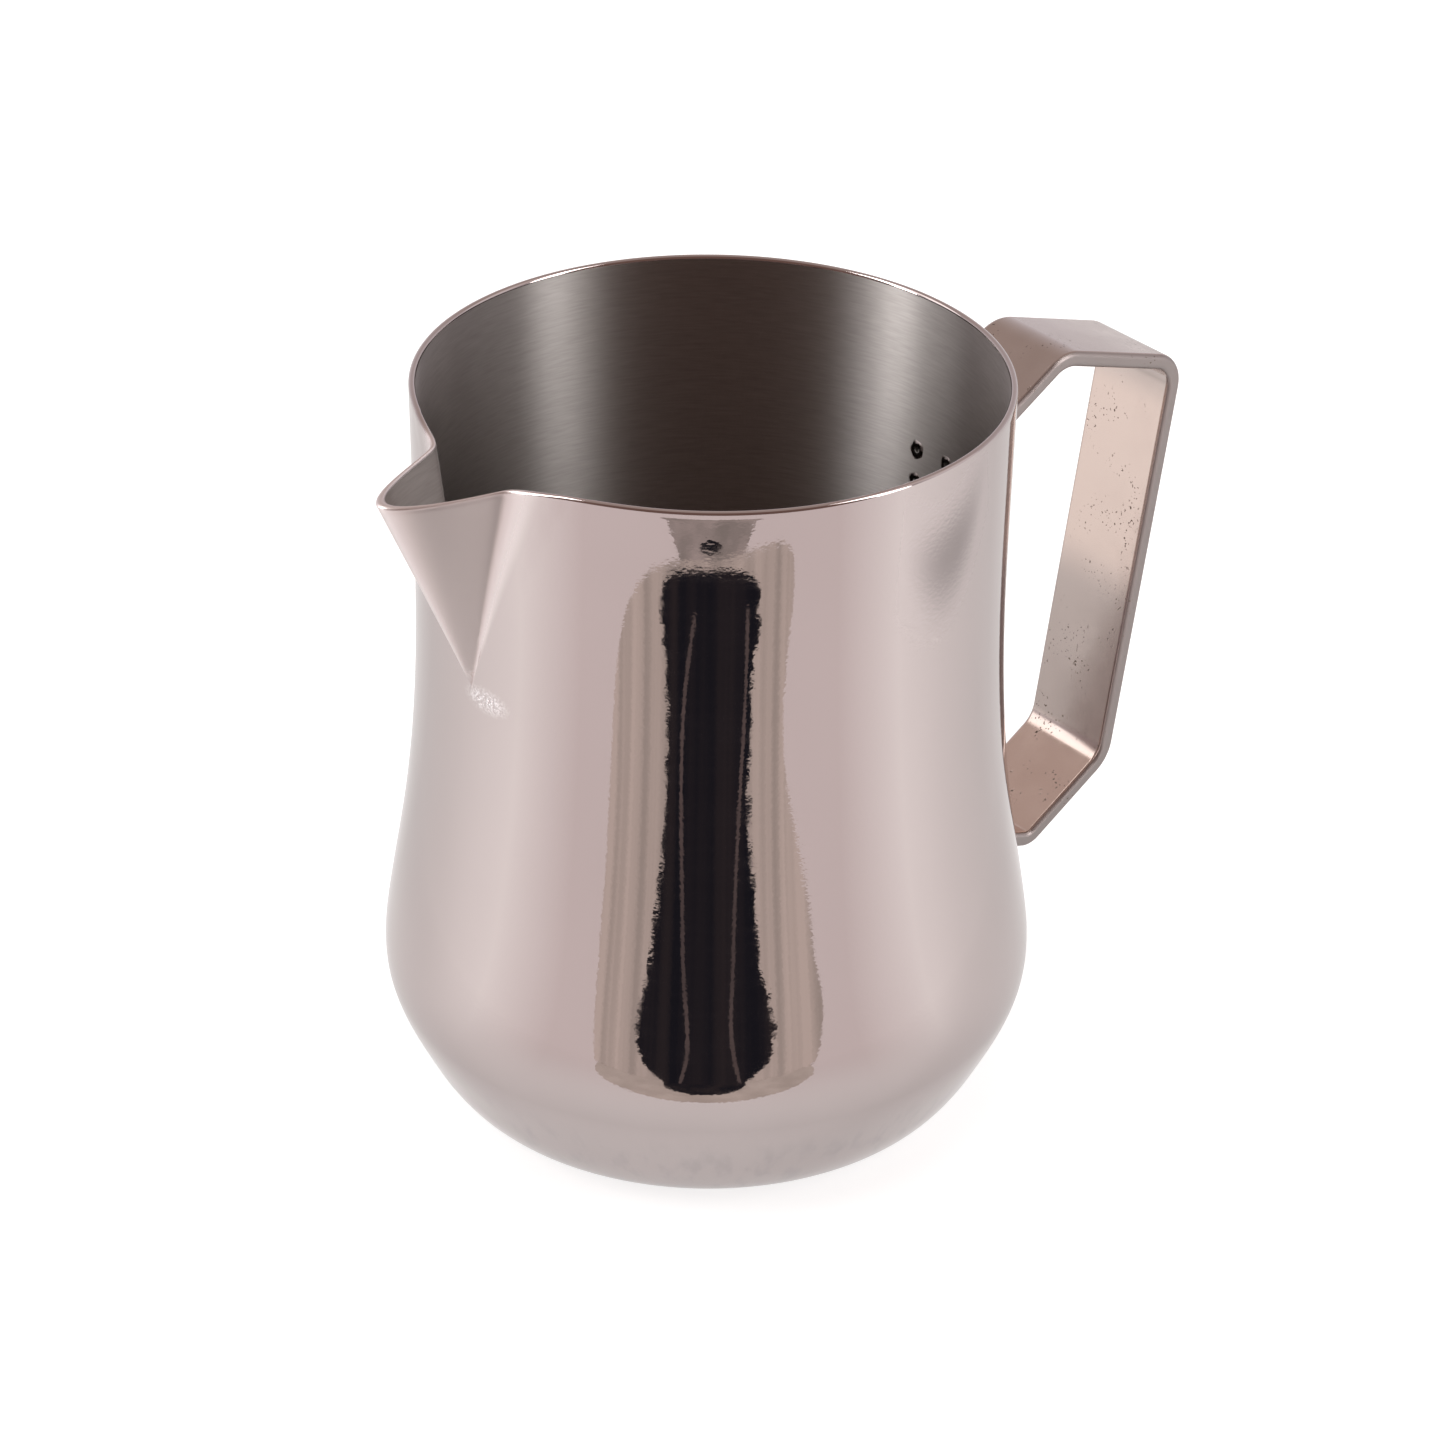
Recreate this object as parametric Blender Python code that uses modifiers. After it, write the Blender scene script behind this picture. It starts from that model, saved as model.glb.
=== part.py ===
"""A milk frothing pitcher: a drawn steel body with a pinched spout, and a bent strip handle spot-welded to it.

The origin is the centre of the base, on the body's axis. +Z is up, the handle points along +X and the
spout along -X. Lengths are in metres.
"""

import math

import bmesh
import bpy
from mathutils import Vector

MM = 0.001

# Body
HEIGHT = 103 * MM
SHEET = 0.9 * MM
RIM_ROUND = 0.32 * MM
RIM_RADIUS = 39 * MM
# Outer radius and height, from the edge of the flat base up to the rim
BODY_STATIONS = [
    (31.5 * MM, 0),
    (36.4 * MM, 3.1 * MM),
    (39.8 * MM, 8.7 * MM),
    (43.2 * MM, 17.0 * MM),
    (42.9 * MM, 26.8 * MM),
    (40.6 * MM, 41.2 * MM),
    (39.0 * MM, 57.7 * MM),
    (38.6 * MM, 76.2 * MM),
    (38.8 * MM, 90.6 * MM),
    (RIM_RADIUS, HEIGHT),
]
STEPS_BETWEEN_STATIONS = 3
BODY_COLUMNS = 76

# Spout: a V pressed outwards, which starts at a point on the neck and opens towards the rim
SPOUT_FOOT = 70.5 * MM
SPOUT_HALF_ANGLE = math.radians(11.7)
SPOUT_REACH = 13.3 * MM
NOSE_ROUND = 0.3
CREASE_ROUND = 0.5 * MM
LIP_DIP = 2.8 * MM
LIP_DIP_ANGLE = math.radians(16.5)
# The columns of the mesh gather on the spout: this share of them lies between the creases
SPOUT_COLUMN_SHARE = 0.2
LEAST_COLUMN_ANGLE = math.radians(3)

# Handle: one strip, bent in the plane of the spout
STRIP_WIDTH = 15 * MM
STRIP_THICKNESS = 2.2 * MM
STRIP_ROUND = 0.8 * MM
WELD_GAP = 0.3 * MM
UPPER_TAB_END = 72 * MM
LOWER_TAB_END = 37.5 * MM
TAB_CENTRE = STRIP_THICKNESS / 2 + WELD_GAP
# Corners of the strip's middle line, as distance from the axis and height, with each bend's radius
HANDLE_CORNERS = [
    (38.6 * MM + TAB_CENTRE, 83.4 * MM, 4 * MM),
    (54.6 * MM, 93.0 * MM, 5 * MM),
    (75.4 * MM, 86.6 * MM, 4 * MM),
    (65.7 * MM, 28.2 * MM, 5 * MM),
    (52.2 * MM, 19.3 * MM, 2.5 * MM),
    (45.4 * MM, 21.2 * MM, 2.5 * MM),
]
BEND_STEP = math.radians(15)
TAB_ROWS = 4
STRIP_COLUMNS = 6

# Spot welds: two rows of two through each tab
WELD_RADIUS = 1.5 * MM
WELD_THICKNESS = 0.6 * MM
WELD_SIDE = 3.1 * MM
WELD_RISE = 2.4 * MM
UPPER_WELDS_HEIGHT = 78 * MM
LOWER_WELDS_HEIGHT = 31.5 * MM
POCKET_RADIUS = WELD_RADIUS + 0.3 * MM
POCKET_DEPTH = WELD_THICKNESS + WELD_GAP
WELD_SIDES = 20


def clear_scene():
    for obj in list(bpy.data.objects):
        bpy.data.objects.remove(obj, do_unlink=True)


def new_collection(name):
    collection = bpy.data.collections.new(name)
    bpy.context.scene.collection.children.link(collection)
    return collection


def metal(name, colour, roughness):
    material = bpy.data.materials.new(name)
    material.use_nodes = True
    shader = material.node_tree.nodes["Principled BSDF"]
    shader.inputs["Base Color"].default_value = (*colour, 1)
    shader.inputs["Metallic"].default_value = 1
    shader.inputs["Roughness"].default_value = roughness
    return material


def add_object(name, mesh, collection, material=None):
    obj = bpy.data.objects.new(name, mesh)
    collection.objects.link(obj)
    if material:
        mesh.materials.append(material)
    return obj


def smooth_points(points, steps, start_direction):
    """A smooth curve through the points, with this many steps between each two."""
    points = [Vector(point) for point in points]
    tangents = [Vector(start_direction) * (points[1] - points[0]).length]
    for before, after in zip(points, points[2:]):
        tangents.append((after - before) / 2)
    tangents.append(points[-1] - points[-2])
    curve = [points[0]]
    for i in range(len(points) - 1):
        start, end = points[i], points[i + 1]
        length = (end - start).length
        leave = start + tangents[i].normalized() * length / 3
        arrive = end - tangents[i + 1].normalized() * length / 3
        for step in range(1, steps + 1):
            t = step / steps
            first = start.lerp(leave, t)
            middle = leave.lerp(arrive, t)
            last = arrive.lerp(end, t)
            curve.append(first.lerp(middle, t).lerp(middle.lerp(last, t), t))
    return curve


def body_outline():
    return smooth_points(BODY_STATIONS, STEPS_BETWEEN_STATIONS, (1, 0))


def body_radius(height):
    """The outer radius of the round body at a height."""
    outline = body_outline()
    for low, high in zip(outline, outline[1:]):
        if low.y <= height <= high.y:
            return low.x + (high.x - low.x) * (height - low.y) / (high.y - low.y)
    return outline[-1].x


def spout_share(height):
    """0 at the spout's foot and below, 1 at the rim."""
    return min(max((height - SPOUT_FOOT) / (HEIGHT - SPOUT_FOOT), 0), 1)


def spout_radius(angle, radius, share):
    """The body's radius at an angle from the spout's middle, with the spout's straight flanks and round nose."""
    half = SPOUT_HALF_ANGLE * share
    if half <= 0 or abs(angle) > 2 * half:
        return radius
    turned = math.hypot(angle / half, NOSE_ROUND) - NOSE_ROUND
    turned *= half / (math.hypot(1, NOSE_ROUND) - NOSE_ROUND)
    tip = radius + SPOUT_REACH * share
    crease_x = radius * math.cos(half)
    crease_y = radius * math.sin(half)
    flank = tip * crease_y / (crease_y * math.cos(turned) + (tip - crease_x) * math.sin(turned))
    rise = flank - radius
    return radius + (rise + math.hypot(rise, CREASE_ROUND * share)) / 2


def lip_dip(angle, share):
    return LIP_DIP * share * math.exp(-((angle / LIP_DIP_ANGLE) ** 2))


def gathered_angle(angle, share):
    """Moves a mesh column towards the spout, so that one column follows each crease."""
    crease = max(SPOUT_HALF_ANGLE * share, LEAST_COLUMN_ANGLE)
    edge = math.pi * SPOUT_COLUMN_SHARE
    if abs(angle) <= edge:
        return angle / edge * crease
    outside = (abs(angle) - edge) / (math.pi - edge)
    return math.copysign(crease + outside * (math.pi - crease), angle)


def press_spout(mesh):
    """Shapes a turned mesh's points into the spout, which looks along -X."""
    for vertex in mesh.vertices:
        x, y, z = vertex.co
        radius = math.hypot(x, y)
        if radius == 0:
            continue
        share = spout_share(z)
        angle = gathered_angle(math.atan2(y, -x), share)
        radius = spout_radius(angle, radius, share)
        vertex.co = (-radius * math.cos(angle), radius * math.sin(angle), z - lip_dip(angle, share))


def turned_mesh(name, outline):
    """A surface of revolution about Z, from an outline that runs down its outer side."""
    profile = bpy.data.meshes.new(name + "_profile")
    points = [(point.x, 0, point.y) for point in outline]
    profile.from_pydata(points, [(i, i + 1) for i in range(len(points) - 1)], [])
    obj = bpy.data.objects.new(name + "_profile", profile)
    bpy.context.scene.collection.objects.link(obj)
    screw = obj.modifiers.new("Screw", "SCREW")
    screw.steps = BODY_COLUMNS
    screw.render_steps = BODY_COLUMNS
    screw.use_merge_vertices = True
    screw.merge_threshold = 0.00001
    mesh = evaluated_mesh(obj)
    bpy.data.objects.remove(obj, do_unlink=True)
    return mesh


def evaluated_mesh(obj):
    bpy.context.view_layer.update()
    graph = bpy.context.evaluated_depsgraph_get()
    return bpy.data.meshes.new_from_object(obj.evaluated_get(graph))


def add_bevel(obj, width, segments, least_angle):
    bevel = obj.modifiers.new("Round edges", "BEVEL")
    bevel.width = width
    bevel.segments = segments
    bevel.limit_method = "ANGLE"
    bevel.angle_limit = least_angle
    bevel.harden_normals = False


def shade_smooth(mesh, sharp_angle):
    mesh.shade_smooth()
    mesh.set_sharp_from_angle(angle=sharp_angle)


def make_body(collection, material):
    outline = body_outline()
    outline.reverse()
    outline.append(Vector((0, 0)))
    mesh = turned_mesh("pitcher_body", outline)
    press_spout(mesh)
    shade_smooth(mesh, math.radians(50))
    obj = add_object("pitcher_body", mesh, collection, material)
    wall = obj.modifiers.new("Sheet", "SOLIDIFY")
    wall.thickness = SHEET
    wall.offset = -1
    wall.use_even_offset = True
    add_bevel(obj, RIM_ROUND, 2, math.radians(65))
    return obj


def rounded_path(points, corners):
    """The line through the points, with each inner corner turned on its radius."""
    path = [Vector(points[0])]
    for i, radius in enumerate(corners, start=1):
        corner = Vector(points[i])
        back = (Vector(points[i - 1]) - corner).normalized()
        ahead = (Vector(points[i + 1]) - corner).normalized()
        half_opening = back.angle(ahead) / 2
        middle = corner + (back + ahead).normalized() * radius / math.sin(half_opening)
        start = corner + back * radius / math.tan(half_opening)
        turn = math.pi - 2 * half_opening
        side = math.copysign(1, back.x * ahead.y - back.y * ahead.x)
        steps = max(2, math.ceil(turn / BEND_STEP))
        for step in range(steps + 1):
            angle = side * -turn * step / steps
            arm = start - middle
            cos, sin = math.cos(angle), math.sin(angle)
            path.append(middle + Vector((arm.x * cos - arm.y * sin, arm.x * sin + arm.y * cos)))
    path.append(Vector(points[-1]))
    return path


def with_rows(start, end):
    """The points that divide a straight run, without its end."""
    return [start.lerp(end, row / TAB_ROWS) for row in range(TAB_ROWS)]


def handle_path():
    """The strip's middle line in the XZ plane, from the upper tab's end to the lower tab's end."""
    top = (body_radius(UPPER_TAB_END) + TAB_CENTRE, UPPER_TAB_END)
    bottom = (body_radius(LOWER_TAB_END) + TAB_CENTRE, LOWER_TAB_END)
    points = [top] + [corner[:2] for corner in HANDLE_CORNERS] + [bottom]
    path = rounded_path(points, [corner[2] for corner in HANDLE_CORNERS])
    return with_rows(*path[:2]) + path[1:-2] + with_rows(*path[-2:]) + path[-1:]


def wrap_on_body(x, y, z):
    """Where a point of the strip lies once the tabs are curved to the wall behind them."""
    ring = body_radius(z) + TAB_CENTRE
    x = max(x, ring)
    share = max((ring + STRIP_THICKNESS - x) / STRIP_THICKNESS, 0)
    return x - share * (ring - math.sqrt(ring * ring - y * y))


def make_handle(collection, material):
    path = handle_path()
    cells = bmesh.new()
    rows = []
    for point in path:
        row = []
        for column in range(STRIP_COLUMNS + 1):
            y = STRIP_WIDTH * (column / STRIP_COLUMNS - 0.5)
            row.append(cells.verts.new((wrap_on_body(point.x, y, point.y), y, point.y)))
        rows.append(row)
    for low, high in zip(rows, rows[1:]):
        for i in range(STRIP_COLUMNS):
            cells.faces.new((low[i], low[i + 1], high[i + 1], high[i]))
    mesh = bpy.data.meshes.new("strip_handle")
    cells.to_mesh(mesh)
    cells.free()
    shade_smooth(mesh, math.radians(50))
    obj = add_object("strip_handle", mesh, collection, material)
    strip = obj.modifiers.new("Strip", "SOLIDIFY")
    strip.thickness = STRIP_THICKNESS
    strip.offset = 0
    strip.use_even_offset = True
    add_bevel(obj, STRIP_ROUND, 3, math.radians(60))
    return obj


def weld_places():
    """Each spot weld's name, and the point of the wall that it sits on."""
    places = []
    for tab, middle in (("upper", UPPER_WELDS_HEIGHT), ("lower", LOWER_WELDS_HEIGHT)):
        for rise in (1, -1):
            for side in (1, -1):
                z = middle + rise * WELD_RISE
                angle = math.asin(side * WELD_SIDE / body_radius(z))
                number = len(places) % 4 + 1
                places.append((f"{tab}_spot_weld_{number}", angle, z))
    return places


def disc(name, radius, depth, angle, z, start):
    """A short cylinder that stands out from the body's wall, from this distance off it."""
    slope = (body_radius(z + MM) - body_radius(z - MM)) / (2 * MM)
    outwards = Vector((math.cos(angle), math.sin(angle), -slope)).normalized()
    foot = Vector((body_radius(z) * math.cos(angle), body_radius(z) * math.sin(angle), z))
    cells = bmesh.new()
    bmesh.ops.create_cone(
        cells, cap_ends=True, segments=WELD_SIDES, radius1=radius, radius2=radius, depth=depth
    )
    mesh = bpy.data.meshes.new(name)
    cells.to_mesh(mesh)
    cells.free()
    shade_smooth(mesh, math.radians(50))
    obj = bpy.data.objects.new(name, mesh)
    obj.location = foot + outwards * (start + depth / 2)
    obj.rotation_euler = outwards.to_track_quat("Z", "Y").to_euler()
    return obj


def make_welds(handle, collection, cutters, material):
    """The spot welds, each in a shallow pocket of the handle's tab."""
    for name, angle, z in weld_places():
        weld = disc(name, WELD_RADIUS, WELD_THICKNESS, angle, z, WELD_GAP)
        weld.data.materials.append(material)
        collection.objects.link(weld)
        pocket = disc(name + "_pocket", POCKET_RADIUS, POCKET_DEPTH + MM, angle, z, WELD_GAP - MM)
        pocket.hide_render = True
        pocket.display_type = "WIRE"
        cutters.objects.link(pocket)
        cut = handle.modifiers.new(name + " pocket", "BOOLEAN")
        cut.operation = "DIFFERENCE"
        cut.solver = "EXACT"
        cut.object = pocket


def main():
    clear_scene()
    parts = new_collection("milk_frothing_pitcher")
    cutters = new_collection("cutters")
    cutters.hide_render = True
    polished = metal("polished_steel", (0.66, 0.60, 0.59), 0.08)
    strip = metal("strip_steel", (0.58, 0.52, 0.49), 0.2)
    weld = metal("weld_steel", (0.22, 0.19, 0.18), 0.45)
    make_body(parts, polished)
    handle = make_handle(parts, strip)
    make_welds(handle, parts, cutters, weld)


main()
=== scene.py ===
"""The looks of the milk frothing pitcher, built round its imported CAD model.

The origin is the centre of the base, +Z is up, the handle points along +X and the spout along -X.
Lengths are in metres.
"""

import math

import bmesh
import bpy
import numpy as np
from mathutils import Matrix, Vector


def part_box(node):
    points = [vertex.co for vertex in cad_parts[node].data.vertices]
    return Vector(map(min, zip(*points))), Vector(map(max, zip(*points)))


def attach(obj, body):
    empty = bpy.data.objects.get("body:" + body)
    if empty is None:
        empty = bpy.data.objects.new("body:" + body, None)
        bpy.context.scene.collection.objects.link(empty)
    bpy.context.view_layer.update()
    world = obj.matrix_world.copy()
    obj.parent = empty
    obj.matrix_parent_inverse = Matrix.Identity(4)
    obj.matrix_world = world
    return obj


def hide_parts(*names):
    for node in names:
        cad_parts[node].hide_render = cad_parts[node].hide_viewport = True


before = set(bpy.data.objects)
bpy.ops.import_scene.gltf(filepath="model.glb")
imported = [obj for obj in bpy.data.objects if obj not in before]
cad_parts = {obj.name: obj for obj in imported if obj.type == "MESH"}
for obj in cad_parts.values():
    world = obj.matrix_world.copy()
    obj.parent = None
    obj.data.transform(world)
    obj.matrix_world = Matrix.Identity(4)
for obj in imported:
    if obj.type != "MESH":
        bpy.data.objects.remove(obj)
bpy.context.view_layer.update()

MM = 0.001

# Body
BODY_LOW, BODY_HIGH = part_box("pitcher_body")
HEIGHT = BODY_HIGH.z
SHEET = 0.9 * MM
RIM_RADIUS = 39 * MM
BASE_RADIUS = 31.5 * MM
# Outer radius and height, from the edge of the flat base up to the rim. Most of the radii come from a fit to
# the outline in the photograph.
BODY_STATIONS = [
    (BASE_RADIUS, 0),
    (36.4 * MM, 3.1 * MM),
    (39.8 * MM, 8.7 * MM),
    (43.2 * MM, 17.0 * MM),
    (42.9 * MM, 26.8 * MM),
    (40.6 * MM, 41.2 * MM),
    (39.0 * MM, 57.7 * MM),
    (38.6 * MM, 76.2 * MM),
    (38.8 * MM, 90.6 * MM),
    (RIM_RADIUS, HEIGHT - SHEET / 2),
]
WALL_ROWS = 150
BASE_ROWS = 5
RIM_ROWS = 8
BODY_COLUMNS = 296

# Spout: a V pressed outwards, which starts at a point on the neck and opens towards the rim
SPOUT_FOOT = 70.5 * MM
SPOUT_HALF_ANGLE = math.radians(11.7)
SPOUT_REACH = 13.3 * MM
NOSE_ROUND = 0.55
CREASE_ROUND = 1.4 * MM
LIP_DIP = 2.8 * MM
LIP_DIP_ANGLE = math.radians(16.5)
SPOUT_COLUMN_SHARE = 0.2
LEAST_COLUMN_ANGLE = math.radians(3)
# How much further in than the sheet's thickness the inner face of the spout's nose lies
NOSE_INSET = 0.5 * MM

# Handle
STRIP_WIDTH = 15 * MM
STRIP_THICKNESS = 2.2 * MM
STRIP_ROUND = 0.75 * MM
WELD_GAP = 0.3 * MM
UPPER_TAB_END = 72 * MM
LOWER_TAB_END = 37.5 * MM
TAB_CENTRE = STRIP_THICKNESS / 2 + WELD_GAP
# Corners of the strip's middle line, as distance from the axis and height, with each bend's radius
HANDLE_CORNERS = [
    (38.6 * MM + TAB_CENTRE, 83.4 * MM, 4 * MM),
    (54.6 * MM, 93.0 * MM, 5 * MM),
    (75.4 * MM, 86.6 * MM, 4 * MM),
    (65.7 * MM, 28.2 * MM, 5 * MM),
    (52.2 * MM, 19.3 * MM, 2.5 * MM),
    (45.4 * MM, 21.2 * MM, 2.5 * MM),
]
BEND_STEP = math.radians(5)
TAB_ROWS = 12
STRIP_COLUMNS = 16
EDGE_SEGMENTS = 5
# Edges that turn by more than this stay sharp
SHARP_ANGLE = math.radians(60)

# Spot welds: each runs from the tab's pocket through the wall and shows as a small crater inside
WELD_RADIUS = 1.35 * MM
WELD_SIDES = 32
# How uneven a weld's outline is, as shares of its radius: drawn out to an oval, and in five lobes
WELD_OVAL = 0.10
WELD_LOBES = 0.06
# Distance from the weld's axis as a share of its radius, and how far out from the wall's inner face
WELD_OUTLINE = [
    (0, -0.02 * MM),
    (0.3, 0.0),
    (0.5, -0.12 * MM),
    (0.68, -0.16 * MM),
    (0.85, -0.08 * MM),
    (1.0, 0.02 * MM),
    (1.0, SHEET + 0.8 * MM),
    (0, SHEET + 0.8 * MM),
]

CAMERA_AZIMUTH = math.radians(-38.5)
CAMERA_ELEVATION = math.radians(29.11)
CAMERA_DISTANCE = 665.1 * MM
CAMERA_TARGET = Vector((0, 0, HEIGHT / 2))
AIM_RIGHT = 1.80 * MM
AIM_UP = 0.74 * MM
CAMERA_ROLL = math.radians(0.81)
CAMERA_LENS = 124.6
CAMERA_SENSOR = 36
CAMERA_CLIP_START = 10 * MM


def direction(azimuth, elevation):
    level = math.cos(elevation)
    return Vector((math.sin(azimuth) * level, -math.cos(azimuth) * level, math.sin(elevation)))


CAMERA_BACK = direction(CAMERA_AZIMUTH, CAMERA_ELEVATION)
# Level directions: towards the camera, and to its right
FRONT = direction(CAMERA_AZIMUTH, 0)
RIGHT = Vector((math.cos(CAMERA_AZIMUTH), math.sin(CAMERA_AZIMUTH), 0))


def smooth_curve(points, count, start_direction):
    """A cubic curve with a continuous bend through the points, at this many even steps of its length."""
    points = np.array(points, float)
    steps = np.linalg.norm(np.diff(points, axis=0), axis=1)
    places = np.concatenate([[0], np.cumsum(steps)])
    size = len(points)
    matrix = np.zeros((size, size))
    right = np.zeros((size, 2))
    matrix[0, 0] = 2 * steps[0]
    matrix[0, 1] = steps[0]
    right[0] = 6 * ((points[1] - points[0]) / steps[0] - np.array(start_direction))
    matrix[-1, -1] = 1
    for i in range(1, size - 1):
        matrix[i, i - 1 : i + 2] = steps[i - 1], 2 * (steps[i - 1] + steps[i]), steps[i]
        ahead = (points[i + 1] - points[i]) / steps[i]
        behind = (points[i] - points[i - 1]) / steps[i - 1]
        right[i] = 6 * (ahead - behind)
    bends = np.linalg.solve(matrix, right)
    wanted = np.linspace(0, places[-1], count)
    part = np.clip(np.searchsorted(places, wanted, side="right") - 1, 0, size - 2)
    width = steps[part][:, None]
    after = ((wanted - places[part]) / steps[part])[:, None]
    before = 1 - after
    return (
        before * points[part]
        + after * points[part + 1]
        + width**2 / 6 * ((before**3 - before) * bends[part] + (after**3 - after) * bends[part + 1])
    )


WALL = smooth_curve(BODY_STATIONS, WALL_ROWS, (1, 0))


def wall_radius(height):
    """The outer radius of the round body at a height."""
    return float(np.interp(height, WALL[:, 1], WALL[:, 0]))


def inner_line(line):
    """The line that runs a sheet's thickness inside the wall's outer line."""
    along = np.gradient(line, axis=0)
    along /= np.linalg.norm(along, axis=1)[:, None]
    inwards = np.stack([-along[:, 1], along[:, 0]], axis=1)
    return line + SHEET * inwards


def spout_share(height):
    """0 at the spout's foot and below, 1 at the rim."""
    return min(max((height - SPOUT_FOOT) / (HEIGHT - SPOUT_FOOT), 0), 1)


def spout_radius(angle, radius, share, inset):
    """The radius at an angle from the spout's middle, with the spout's straight flanks and round nose."""
    half = SPOUT_HALF_ANGLE * share
    if half <= 0 or abs(angle) > 2 * half:
        return radius
    turned = math.hypot(angle / half, NOSE_ROUND) - NOSE_ROUND
    turned *= half / (math.hypot(1, NOSE_ROUND) - NOSE_ROUND)
    tip = radius + max(SPOUT_REACH * share - inset, 0)
    crease_x = radius * math.cos(half)
    crease_y = radius * math.sin(half)
    flank = tip * crease_y / (crease_y * math.cos(turned) + (tip - crease_x) * math.sin(turned))
    rise = flank - radius
    return radius + (rise + math.hypot(rise, CREASE_ROUND * share)) / 2


def lip_dip(angle, share):
    return LIP_DIP * share * math.exp(-((angle / LIP_DIP_ANGLE) ** 2))


def gathered_angle(turn, share):
    """The angle of a mesh column, which gathers near the spout so that one column follows each crease."""
    crease = max(SPOUT_HALF_ANGLE * share, LEAST_COLUMN_ANGLE)
    edge = math.pi * SPOUT_COLUMN_SHARE
    if abs(turn) <= edge:
        return turn / edge * crease
    outside = (abs(turn) - edge) / (math.pi - edge)
    return math.copysign(crease + outside * (math.pi - crease), turn)


def body_ring(radius, height, inset):
    """One ring of the body's points at a radius and height, pressed into the spout where it reaches it."""
    ring = []
    share = spout_share(height)
    for column in range(BODY_COLUMNS):
        turn = 2 * math.pi * column / BODY_COLUMNS - math.pi
        angle = gathered_angle(turn, share)
        out = spout_radius(angle, radius, share, inset)
        z = height - lip_dip(angle, share)
        ring.append(Vector((-out * math.cos(angle), out * math.sin(angle), z)))
    return ring


def body_rings():
    """Rings from the base's middle, up the outside, over the rim and down the inside to the floor."""
    outside = WALL
    inside = inner_line(WALL)
    rings = []
    for step in range(1, BASE_ROWS):
        rings.append(body_ring(BASE_RADIUS * step / BASE_ROWS, 0, 0))
    for radius, height in outside:
        rings.append(body_ring(radius, height, 0))
    top_out = rings[-1]
    top_in = body_ring(*inside[-1], NOSE_INSET)
    for step in range(1, RIM_ROWS):
        turn = math.pi * step / RIM_ROWS
        across = (1 - math.cos(turn)) / 2
        rise = Vector((0, 0, math.sin(turn) * SHEET / 2))
        rings.append([a.lerp(b, across) + rise for a, b in zip(top_out, top_in)])
    for radius, height in inside[::-1]:
        rings.append(body_ring(radius, height, NOSE_INSET))
    for step in range(BASE_ROWS - 1, 0, -1):
        rings.append(body_ring(BASE_RADIUS * step / BASE_ROWS, SHEET, NOSE_INSET))
    return rings


def make_body(outside_material, inside_material):
    rings = body_rings()
    points = [point for ring in rings for point in ring]
    underside = len(points)
    points += [Vector((0, 0, 0)), Vector((0, 0, SHEET))]
    faces = []
    for row in range(len(rings) - 1):
        for column in range(BODY_COLUMNS):
            after = (column + 1) % BODY_COLUMNS
            low = row * BODY_COLUMNS
            high = low + BODY_COLUMNS
            faces.append((low + column, high + column, high + after, low + after))
    last = (len(rings) - 1) * BODY_COLUMNS
    for column in range(BODY_COLUMNS):
        after = (column + 1) % BODY_COLUMNS
        faces.append((underside, column, after))
        faces.append((underside + 1, last + after, last + column))
    mesh = bpy.data.meshes.new("pitcher_shell")
    mesh.from_pydata(points, [], faces)
    mesh.materials.append(outside_material)
    mesh.materials.append(inside_material)
    first_inside = (BASE_ROWS - 1 + WALL_ROWS + RIM_ROWS - 1) * BODY_COLUMNS
    for index, polygon in enumerate(mesh.polygons):
        polygon.material_index = int(first_inside <= index < last or polygon.vertices[0] == underside + 1)
    fix_normals(mesh)
    mesh.shade_smooth()
    shell = add_piece("pitcher_shell", mesh)
    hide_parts("pitcher_body")


def fix_normals(mesh):
    cells = bmesh.new()
    cells.from_mesh(mesh)
    bmesh.ops.recalc_face_normals(cells, faces=cells.faces)
    cells.to_mesh(mesh)
    cells.free()


def add_piece(name, mesh):
    piece = bpy.data.objects.new(name, mesh)
    bpy.context.scene.collection.objects.link(piece)
    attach(piece, "root")
    return piece


def rounded_path(points, corners):
    """The line through the points, with each inner corner turned on its radius."""
    path = [Vector(points[0])]
    for i, radius in enumerate(corners, start=1):
        corner = Vector(points[i])
        back = (Vector(points[i - 1]) - corner).normalized()
        ahead = (Vector(points[i + 1]) - corner).normalized()
        half_opening = back.angle(ahead) / 2
        middle = corner + (back + ahead).normalized() * radius / math.sin(half_opening)
        start = corner + back * radius / math.tan(half_opening)
        turn = math.pi - 2 * half_opening
        side = math.copysign(1, back.x * ahead.y - back.y * ahead.x)
        steps = max(4, math.ceil(turn / BEND_STEP))
        for step in range(steps + 1):
            angle = side * -turn * step / steps
            arm = start - middle
            cos, sin = math.cos(angle), math.sin(angle)
            path.append(middle + Vector((arm.x * cos - arm.y * sin, arm.x * sin + arm.y * cos)))
    path.append(Vector(points[-1]))
    return path


def with_rows(start, end):
    return [start.lerp(end, row / TAB_ROWS) for row in range(TAB_ROWS)]


def handle_path():
    """The strip's middle line in the XZ plane, from the upper tab's end to the lower tab's end."""
    top = (wall_radius(UPPER_TAB_END) + TAB_CENTRE, UPPER_TAB_END)
    bottom = (wall_radius(LOWER_TAB_END) + TAB_CENTRE, LOWER_TAB_END)
    points = [top] + [corner[:2] for corner in HANDLE_CORNERS] + [bottom]
    path = rounded_path(points, [corner[2] for corner in HANDLE_CORNERS])
    return with_rows(*path[:2]) + path[1:-2] + with_rows(*path[-2:]) + path[-1:]


def wrap_on_body(x, y, z):
    """Where a point of the strip lies once the tabs are curved to the wall behind them."""
    ring = wall_radius(z) + TAB_CENTRE
    x = max(x, ring)
    share = max((ring + STRIP_THICKNESS - x) / STRIP_THICKNESS, 0)
    return x - share * (ring - math.sqrt(ring * ring - y * y))


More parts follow.
